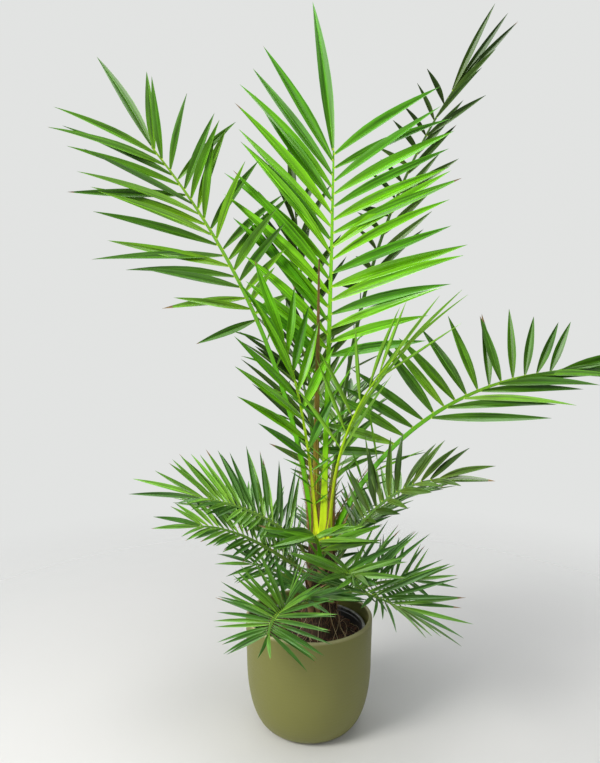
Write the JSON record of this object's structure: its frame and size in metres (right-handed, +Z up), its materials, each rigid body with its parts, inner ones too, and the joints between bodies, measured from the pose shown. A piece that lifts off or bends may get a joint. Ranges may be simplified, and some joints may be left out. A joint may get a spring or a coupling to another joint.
{
  "type": "potted young canary island date palm",
  "caption": "Young feather-leaved date palm in a plastic nursery pot, set in a round-bottomed matte ceramic pot that stands on its flat foot.",
  "frame": {"origin": "middle of the pot's flat underside", "axes": "+Z up along the pot's axis, +X to the right and -Y towards the front, as the picture shows the plant"},
  "size_m": [1.0738, 0.6415, 1.4137],
  "materials": {
    "olive_ceramic": "matte olive green ceramic",
    "black_plastic": "thin black nursery plastic",
    "potting_soil": "dark fibrous potting soil",
    "fibrous_bark": "brown fibrous leaf bases",
    "dry_fibre": "dry brown fibre",
    "bright_leaf": "bright yellow-green, semi-gloss leaf",
    "green_leaf": "mid green, semi-gloss leaf",
    "deep_leaf": "deep green, semi-gloss leaf",
    "dark_leaf": "dark green leaf"
  },
  "bodies": {
    "root": {"pot": "olive_ceramic", "nursery_pot": "black_plastic", "soil": "potting_soil", "stem": "fibrous_bark", "spear_leaf": "dry_fibre", "frond_centre": "bright_leaf", "frond_left": "green_leaf", "frond_right": "green_leaf", "frond_front_small": "green_leaf", "frond_front_mid": "deep_leaf", "frond_front_low": "deep_leaf", "frond_back_right": "dark_leaf", "frond_back_up": "dark_leaf", "frond_back_left": "dark_leaf", "frond_young_right": "bright_leaf", "frond_young_left": "bright_leaf", "frond_mid_right": "dark_leaf", "frond_mid_left": "deep_leaf", "frond_low_left": "deep_leaf", "frond_front_left": "deep_leaf", "frond_front_right": "deep_leaf", "frond_low_right": "deep_leaf", "frond_low_side": "deep_leaf", "frond_back_mid": "deep_leaf", "frond_back_low_right": "deep_leaf", "frond_back_low_left": "deep_leaf", "frond_back_low": "deep_leaf"}
  },
  "joints": []
}
